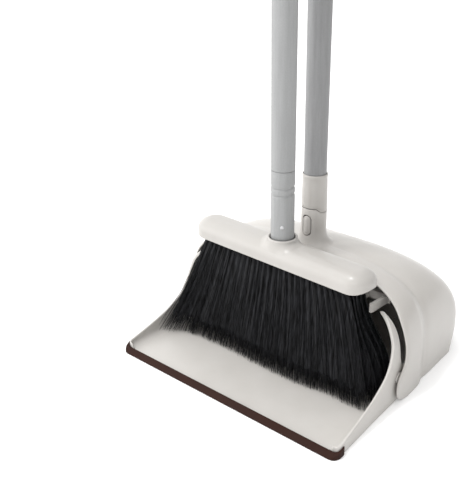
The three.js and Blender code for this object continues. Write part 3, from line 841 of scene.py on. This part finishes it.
def build_head():
    """The cover: its inside first, then its rolled lower edge, sides and dome."""
    rings, deep, lift = [], HEAD_DEEP, HEAD_LIFT
    base = HEAD_CROWN - HEAD_ROUND
    inner_top = HEAD_CROWN - HEAD_WALL
    for t in np.linspace(math.pi / 2, 0, 12):
        pull = HEAD_WALL + HEAD_PULL * (1 - math.cos(t))
        z = inner_top - HEAD_ROUND + HEAD_ROUND * math.sin(t)
        rings.append(head_ring(HEAD_HALF - pull, deep - pull, z))
    edge = [(HEAD_WALL, 0.6), (HEAD_WALL - 0.3, 0.1), (HEAD_WALL - 0.8, 0.0), (0.7, 0.0),
            (0.2, 0.12), (-0.15, 0.5), (-0.2, 1.1), (-0.05, 1.7), (0.0, EDGE_HIGH)]
    for inset, up in edge:
        rings.append(head_ring(HEAD_HALF - inset, deep - inset, HEAD_BOTTOM + up, lift))
    for part in (0.4, 0.7):
        z = HEAD_BOTTOM + EDGE_HIGH + (base - HEAD_BOTTOM - EDGE_HIGH) * part
        rings.append(head_ring(HEAD_HALF, deep, z, lift * (1 - 0.5 * part)))
    for t in np.linspace(0, math.pi / 2, 26):
        pull = HEAD_PULL * (1 - math.cos(t))
        z = base + HEAD_ROUND * math.sin(t)
        rings.append(
            head_ring(HEAD_HALF - pull, deep - pull, z, lift / 2 * max(0.0, 1 - t / 0.9))
        )
    count = len(rings[0])
    return rings, grid_faces(len(rings), count, 0, False, True) + end_faces(len(rings), count)


def dome_height(x, y):
    """The height of the dome's skin above a point of its plan."""
    straight = HEAD_HALF - HEAD_DEEP
    off = math.hypot(max(0.0, abs(x) - straight), y)
    edge = HEAD_DEEP - off
    if edge >= HEAD_PULL:
        return HEAD_CROWN
    t = math.acos(max(0.0, 1 - max(0.0, edge) / HEAD_PULL))
    return HEAD_CROWN - HEAD_ROUND + HEAD_ROUND * math.sin(t)


def build_collar():
    """The collar round the pole flares into the dome under it."""
    sides = 128
    turn = np.linspace(0, 2 * math.pi, sides, endpoint=False)
    flare = [(1.0, -0.6), (0.86, 0.0), (0.7, 0.045), (0.54, 0.12), (0.4, 0.22), (0.27, 0.36),
             (0.15, 0.55), (0.06, 0.78), (0.0, 1.0)]
    top_of_flare = 121.4
    rows = []
    for out, part in flare:
        row = []
        for t in turn:
            reach = min(20.5, 15.6 / max(0.01, abs(math.sin(t))))
            r = COLLAR_R + (reach - COLLAR_R) * out
            x, y = r * math.cos(t), r * math.sin(t)
            low = dome_height(x, y)
            row.append((x, y, low + ((top_of_flare - low) * part if part >= 0 else part)))
        rows.append(row)
    bore = TUBE_R + 1.1
    seat = TUBE_R + GAP
    rest = [(COLLAR_R + 0.1, COLLAR_TOP - 1.4), (COLLAR_R + 0.05, COLLAR_TOP - 0.8),
            (COLLAR_R - 0.25, COLLAR_TOP - 0.25), (COLLAR_R - 0.9, COLLAR_TOP),
            (bore + 0.8, COLLAR_TOP), (bore + 0.25, COLLAR_TOP - 0.25),
            (bore, COLLAR_TOP - 0.8), (bore, 117.0), (seat, 116.0), (seat, 113.0), (17.0, 113.0)]
    inside = HEAD_DEEP - HEAD_WALL
    for r, z in rest:
        ys = [max(-inside, min(inside, r * math.sin(t))) for t in turn]
        rows.append([(r * math.cos(t), y, z) for t, y in zip(turn, ys)])
    return rows, grid_faces(len(rows), sides, 0, True, True)


points, faces = build_head()
make("head_cover", points, faces, HEAD_WHITE_SHADED, "broom", ["broom_head"],
     sharp=50, broom=True)
points, faces = build_collar()
make("head_collar", points, faces, HEAD_WHITE_SHADED, "broom", sharp=50, broom=True)

# ---------------------------------------------------------------- poles

DENT_HALF, DENT_DEEP = 1.6, 0.6
SOCKET_FOOT, SOCKET_DENTS = 110.4, (164.3, 170.6)
GRIP_OVERHANG = 14


def tube_profile(z0, z1, dents):
    """A tube's wall with turned-in ends and shallow rolled grooves."""
    r = TUBE_R
    outer = [(r - 0.35, z0), (r - 0.08, z0 + 0.12), (r, z0 + 0.45)]
    for z in sorted(dents):
        for off in np.linspace(-DENT_HALF, DENT_HALF, 13):
            outer.append((r - DENT_DEEP * math.cos(off / DENT_HALF * math.pi / 2) ** 2, z + off))
    outer += [(r, z1 - 0.45), (r - 0.08, z1 - 0.12), (r - 0.35, z1)]
    return outer + [(r - TUBE_WALL, z1), (r - TUBE_WALL, z0)]


def tube(name, z0, z1, material, body, node, y=0.0, broom=False, dents=()):
    points, faces = lathe(tube_profile(z0, z1, dents), 128, y)
    for z in dents:
        # Each groove wanders a little up and down round the tube.
        turn = np.arctan2(points[:, 1] - y, points[:, 0])
        outside = np.hypot(points[:, 0], points[:, 1] - y) > TUBE_R - DENT_DEEP - 0.1
        near = (np.abs(points[:, 2] - z) < DENT_HALF + 0.1) & outside
        points[near, 2] += 0.7 * np.sin(turn[near] * 2 + z) + 0.35 * np.sin(turn[near] * 5 + 1)
    return make(name, points, faces, material, body, [node], sharp=40, broom=broom)


tube("socket_tube", SOCKET_FOOT, SOCKET_TOP, BROOM_SILVER, "broom", "broom_socket",
     broom=True, dents=SOCKET_DENTS)


def build_rivet():
    """A small domed rivet head, lying on the tube."""
    profile = [(0.01, -1.6), (1.3, -1.6), (1.3, 0.0), (1.7, 0.05), (1.75, 0.25), (1.5, 0.5),
               (1.0, 0.72), (0.5, 0.8), (0.01, 0.82)]
    points, faces = lathe(profile, 32)
    x, z, out = points[:, 0], points[:, 1], points[:, 2]
    c, s = math.cos(RIVET_TURN), math.sin(RIVET_TURN)
    y = -TUBE_R - out
    return np.column_stack([x * c - y * s, x * s + y * c, RIVET_Z + z]), faces


points, faces = build_rivet()
make("rivet_head", points, faces, STEEL, "broom", ["socket_rivet"], sharp=50, broom=True)
low, middle, high = BROOM_SEAMS
for name, z0, z1, node in (
    ("broom_tube_low", low, middle - GAP, "broom_pole_lower"),
    ("broom_tube_middle", middle, high - GAP, "broom_pole_middle"),
    ("broom_tube_high", high, BROOM_GRIP[1] - GRIP_OVERHANG, "broom_pole_upper"),
):
    tube(name, z0, z1, BROOM_SILVER, "broom", node, broom=True)
tube("pan_tube_high", PAN_SEAM, PAN_GRIP[1] - GRIP_OVERHANG, PAN_SILVER, "pan_frame",
     "pan_pole_upper", POLE_Y)


def grip_profile(z0, z1):
    """A foam sleeve that swells a little along its length and has soft ends."""
    hole = TUBE_R + FIT
    out = [(hole, z0), (GRIP_R - 2.6, z0), (GRIP_R - 1.9, z0 + 0.3), (GRIP_R - 0.8, z0 + 1.4)]
    for part in np.linspace(0, 1, 15):
        z = z0 + 3.2 + (z1 - 2.8 - z0 - 3.2) * part
        out.append((GRIP_R - 0.35 + 0.35 * math.sin(math.pi * part), z))
    out += [(GRIP_R - 0.7, z1 - 1.4), (GRIP_R - 1.5, z1 - 0.35), (GRIP_R - 2.3, z1), (hole, z1)]
    return out


def cap_profile(z1):
    """A stepped cap with a hole for the ring's stem."""
    z = z1 + GAP
    return rounded(
        [(2.6, z - 12), (9.2, z - 12), (9.2, z), (GRIP_R - 1.2, z), (GRIP_R - 1.6, z + 3),
         (GRIP_R - 5, z + 6.5), (6, z + 8.5), (2.6, z + 8.5)],
        1.6,
    )


def hang_ring(z1, turn, y):
    """An upright oval loop on a short stem."""
    base = z1 + 10
    centre = base + RING_HIGH
    points = []
    loops, sides = 72, 20
    for i in range(loops):
        t = 2 * math.pi * i / loops
        x, z = RING_WIDE * math.cos(t), RING_HIGH * math.sin(t)
        nx, nz = RING_HIGH * math.cos(t), RING_WIDE * math.sin(t)
        size = math.hypot(nx, nz)
        for j in range(sides):
            s = 2 * math.pi * j / sides
            out = RING_ROD * math.cos(s)
            across, up = x + out * nx / size, centre + z + out * nz / size
            points.append((across, RING_ROD * math.sin(s), up))
    faces = grid_faces(loops, sides, 0, True, True)
    stem = rounded([(0.01, base - 2 - RING_STEM), (2.4, base - 2 - RING_STEM), (2.4, base - 0.6),
                    (1.7, base + 0.4), (0.01, base + 0.4)], 0.5)
    stem_points, stem_faces = lathe(stem, 32)
    faces += [tuple(k + len(points) for k in f) for f in stem_faces]
    points = np.vstack([points, stem_points])
    c, s = math.cos(turn), math.sin(turn)
    points = points @ np.array([[c, s, 0], [-s, c, 0], [0, 0, 1]]) + [0, y, 0]
    return points, faces


for kind, (z0, z1), y, is_broom in (
    ("broom", BROOM_GRIP, 0.0, True), ("pan", PAN_GRIP, POLE_Y, False)
):
    body = "broom" if is_broom else "pan_frame"
    points, faces = lathe(grip_profile(z0, z1), 96, y)
    make(f"{kind}_grip_sleeve", points, faces, GRIP_BROWN, body,
         [f"{kind}_grip"], sharp=50, broom=is_broom)
    points, faces = lathe(cap_profile(z1), 96, y)
    make(f"{kind}_grip_cap", points, faces, GRIP_BROWN, body,
         [f"{kind}_end_cap"], sharp=40, broom=is_broom)
    turn = math.radians(39 + 2.8 if is_broom else -51)
    points, faces = hang_ring(z1, turn, y)
    make(f"{kind}_ring_loop", points, faces, WHITE, f"{kind}_ring",
         [f"{kind}_hang_ring"], sharp=50, broom=is_broom)

# ---------------------------------------------------------------- bristles


def row_centre(row, down):
    """The y of a row, part of the way down from its holes to its tips."""
    start = (row - (ROW_COUNT - 1) / 2) * ROW_PITCH
    return start + ROW_LEAN[row] * down**1.25


def row_half(row, z, down):
    """Half a row's width: the front rows fan out evenly, the others low down."""
    late = 83 + 30 / (1 + np.exp((z - 58) / 11)) + 1.5 * down
    even = 83 + 31 * np.clip(down, 0, 1) ** 0.85
    part = max(0.0, 1 - row / 2)
    return even * part + late * (1 - part)


def splay(row, x, down):
    """The front tufts have been pushed forward, most of all at the left end."""
    ends = [-113, -96, -82, -47, 0, 43, 69, 112]
    forward = np.interp(x, ends, [20, 10, 6.6, 3, 3.5, 2.5, -2.8, -4.9])
    return -forward * np.clip(down, 0, 1) ** 1.4 * max(0.0, 1 - row / 3)


def core_slab(row):
    """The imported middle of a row, a dark slab with a wavy lower edge."""
    cols, levels = 90, [TUFT_TOP, 94, 86, 78, 70, 62, 54, 46, 38, 30, 24, 20]
    front, back = [], []
    for i, z in enumerate(levels):
        down = (TUFT_TOP - z) / (TUFT_TOP - TIP_Z)
        half = float(row_half(row, z, down)) - 1.5
        lowest = i == len(levels) - 1
        for j in range(cols + 1):
            u = -1 + 2 * j / cols
            drop = 2.2 * math.sin(j * 1.7 + row) if lowest else 0
            thick = (1.0 + 0.5 * down) * (0.4 if lowest else 1)
            y = row_centre(row, down) + float(splay(row, u * half, down))
            x = u * half + HEAD_SHIFT * (1 - down)
            front.append((x, y - thick, z + drop))
            back.append((x, y + thick, z + drop))
    n = cols + 1
    faces = [tuple(reversed(f)) for f in grid_faces(len(levels), n)]
    shift = len(front)
    faces += grid_faces(len(levels), n, shift)
    for i in range(len(levels) - 1):
        for j, flip in ((0, True), (n - 1, False)):
            a, b = i * n + j, (i + 1) * n + j
            quad = (a, b, b + shift, a + shift)
            faces.append(quad if flip else quad[::-1])
    for i, flip in ((0, False), (len(levels) - 1, True)):
        for j in range(n - 1):
            a, b = i * n + j, i * n + j + 1
            quad = (a, b, b + shift, a + shift)
            faces.append(quad if flip else quad[::-1])
    return np.array(front + back), faces


def strands(row, tufts=27, per_tuft=60, segments=7):
    """Every filament of a row: a tapered three-sided rod from its tuft hole to its tip."""
    count = tufts * per_tuft
    place = np.repeat((np.arange(tufts) + 0.5) / tufts * 2 - 1, per_tuft)
    angle, radius = rng.uniform(0, 2 * math.pi, count), np.sqrt(rng.uniform(0, 1, count))
    base_x, base_y = 2.15 * radius * np.cos(angle), 2.0 * radius * np.sin(angle)
    spread = 113 / tufts * 1.5
    lock = rng.normal(0, 0.5, tufts).repeat(per_tuft)
    tip_x = np.clip(radius * np.cos(angle) * spread + rng.normal(0, 1.6, count) + lock, -11, 11)
    tip_y = radius * np.sin(angle) * 3.0 + rng.normal(0, 0.7, count)
    if row < 2:
        # Some filaments at the left end have strayed outwards and forwards.
        loose = (place < -0.86) & (rng.uniform(0, 1, count) < 0.35)
        tip_x = tip_x - loose * rng.uniform(0, 7, count)
        tip_y = tip_y - loose * rng.uniform(0, 6, count)
    tip_z = np.clip(rng.normal(4.6, 0.9, count) + 0.5 * rng.normal(0, 1, count) ** 2, 3.3, 11)
    wave, phase = rng.normal(0, 0.55, (2, count)), rng.uniform(0, 2 * math.pi, (2, count))
    width = rng.uniform(0.24, 0.36, count)
    rings = []
    for level in range(segments + 1):
        part = level / segments
        z = TUFT_TOP - 0.1 + (tip_z - TUFT_TOP) * part
        down = np.clip((TUFT_TOP - z) / (TUFT_TOP - TIP_Z), 0, 1)
        ease = part**1.35
        half = row_half(row, z, down)
        x = place * (half - 2.2) + base_x * (1 - ease) + tip_x * ease
        x = np.clip(x, -half - 3.5, half + 1.2) + HEAD_SHIFT * (1 - down)
        y = row_centre(row, down) + splay(row, x, down) + base_y * (1 - ease) + tip_y * ease
        bow = math.sin(math.pi * part)
        x = x + wave[0] * bow * np.sin(phase[0] + 3 * part)
        y = y + wave[1] * bow * np.sin(phase[1] + 3 * part)
        thin = width * (1 - 0.72 * part**3)
        corner = []
        for k in range(3):
            t = 2 * math.pi * k / 3 + phase[0]
            corner.append(np.stack([x + thin * np.cos(t), y + thin * np.sin(t), z], axis=1))
        rings.append(np.stack(corner, axis=1))
    points = np.stack(rings, axis=1).reshape(-1, 3)
    each = 3 * (segments + 1)
    pattern = []
    for level in range(segments):
        for k in range(3):
            a, b = level * 3 + k, level * 3 + (k + 1) % 3
            pattern.append((a, a + 3, b + 3, b))
    quads = np.array(pattern)[None] + (np.arange(count) * each)[:, None, None]
    ends = np.array([(0, 1, 2), (each - 1, each - 2, each - 3)])[None]
    ends = ends + (np.arange(count) * each)[:, None, None]
    return points, quads.reshape(-1, 4).tolist() + ends.reshape(-1, 3).tolist()


for row in range(ROW_COUNT):
    points, faces = strands(row)
    core_points, core_faces = core_slab(row)
    faces += [tuple(k + len(points) for k in f) for f in core_faces]
    tuft = make(
        f"bristles_{row + 1}", np.vstack([points, core_points]), faces, BRISTLE, "broom",
        [f"bristle_row_{row + 1}"], sharp=None, broom=True, fix=False,
    )
    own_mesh(tuft)

# ---------------------------------------------------------------- carried-over CAD nodes

FINISH = [
    (WHITE, ["comb", "comb_end_left", "comb_end_right", "pole_clip", "tuft_block"]),
    (PLUG_GREY, ["pan_pole_joint", "broom_joint_1", "broom_joint_2", "broom_joint_3"]),
    (STEEL, ["button_spring", "head_screw_left", "head_screw_right"]),
    (PAN_SILVER, ["pan_pole_lower"]),
]
for material, names in FINISH:
    for name in names:
        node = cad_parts[name]
        node.data.materials.clear()
        node.data.materials.append(material)
        if name.startswith(("comb", "pole_clip")):
            soften = node.modifiers.new("soften", "BEVEL")
            soften.width, soften.segments = 0.6 * MM, 3
            soften.limit_method, soften.angle_limit = "ANGLE", math.radians(40)

# ---------------------------------------------------------------- stage, light and camera


def stage_floor():
    material, tree, shader = nodes_of("pale_floor")
    place = add(tree, "ShaderNodeTexCoord")
    cloud = add(tree, "ShaderNodeTexNoise", [(place, "Object", "Vector")], Scale=3.0, Detail=3.0)
    base = colour_ramp(tree, cloud, "Fac", [(0.3, (0.95, 0.95, 0.95)), (0.7, (0.97, 0.97, 0.97))])
    tree.links.new(base.outputs["Color"], shader.inputs["Base Color"])
    shader.inputs["Roughness"].default_value = 0.9
    shader.inputs["Emission Color"].default_value = (1, 1, 1, 1)
    shader.inputs["Emission Strength"].default_value = 0.1
    reach, level = 6.0, -0.0003
    mesh = bpy.data.meshes.new("floor")
    corners = [(-reach, -reach), (reach, -reach), (reach, reach), (-reach, reach)]
    mesh.from_pydata([(x, y, level) for x, y in corners], [], [(0, 1, 2, 3)])
    mesh.materials.append(material)
    floor = bpy.data.objects.new("floor", mesh)
    bpy.context.scene.collection.objects.link(floor)
    return floor


def softbox(name, place, target, size, watts):
    """A soft rectangular lamp at place, turned to face target."""
    data = bpy.data.lights.new(name, "AREA")
    data.shape, data.size, data.size_y = "RECTANGLE", size[0], size[1]
    data.energy = watts
    lamp = bpy.data.objects.new(name, data)
    lamp.location = place
    away = np.array(place) - np.array(target)
    flat = math.hypot(away[0], away[1])
    lamp.rotation_euler = (
        math.atan2(flat, away[2]), 0, math.atan2(away[1], away[0]) + math.pi / 2
    )
    bpy.context.scene.collection.objects.link(lamp)


stage_floor()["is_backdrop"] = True
softbox("key", (-0.55, -1.0, 2.5), (0, 0, 0.08), (0.35, 0.35), 22)
softbox("left", (-1.9, -1.3, 0.7), (0, 0, 0.1), (1.6, 1.2), 9)
softbox("front", (0.6, -1.9, 1.3), (0, 0, 0.08), (0.3, 0.3), 2.5)

world = bpy.data.worlds.new("white_room")
world.use_nodes = True
bpy.context.scene.world = world
background = world.node_tree.nodes["Background"]
background.inputs["Color"].default_value = (1, 1, 1, 1)
# The room is brighter above and on the left; the backdrop itself is plain white.
sky = world.node_tree
direction = add(sky, "ShaderNodeTexCoord")
facing = add(sky, "ShaderNodeVectorMath", [(direction, "Generated", 0)], operation="DOT_PRODUCT")
facing.inputs[1].default_value = (-0.8, -0.3, 0.5)
level = range_of(sky, facing, "Value", 0.1, 1.95, -1.0, 1.0)
path = add(sky, "ShaderNodeLightPath")
seen = add(
    sky, "ShaderNodeMix", [(path, "Is Camera Ray", "Factor"), (level, "Result", "A")],
)
seen.inputs["B"].default_value = 1.05
sky.links.new(seen.outputs["Result"], background.inputs["Strength"])

camera_data = bpy.data.cameras.new("camera")
camera_data.sensor_width, camera_data.lens = 36, 50.73
camera_data.shift_x, camera_data.shift_y = -0.063, -0.046
camera_data.clip_start = 0.01
camera = bpy.data.objects.new("camera", camera_data)
camera.location = (0.3413, -0.4756, 0.3780)
camera.rotation_euler = (math.radians(90 - 23.4), 0, math.radians(38.7))
bpy.context.scene.collection.objects.link(camera)
bpy.context.scene.camera = camera
bpy.context.scene.view_settings.view_transform = "Standard"

# ---------------------------------------------------------------- bounds of the shown pieces

bpy.context.view_layer.update()
low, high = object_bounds()
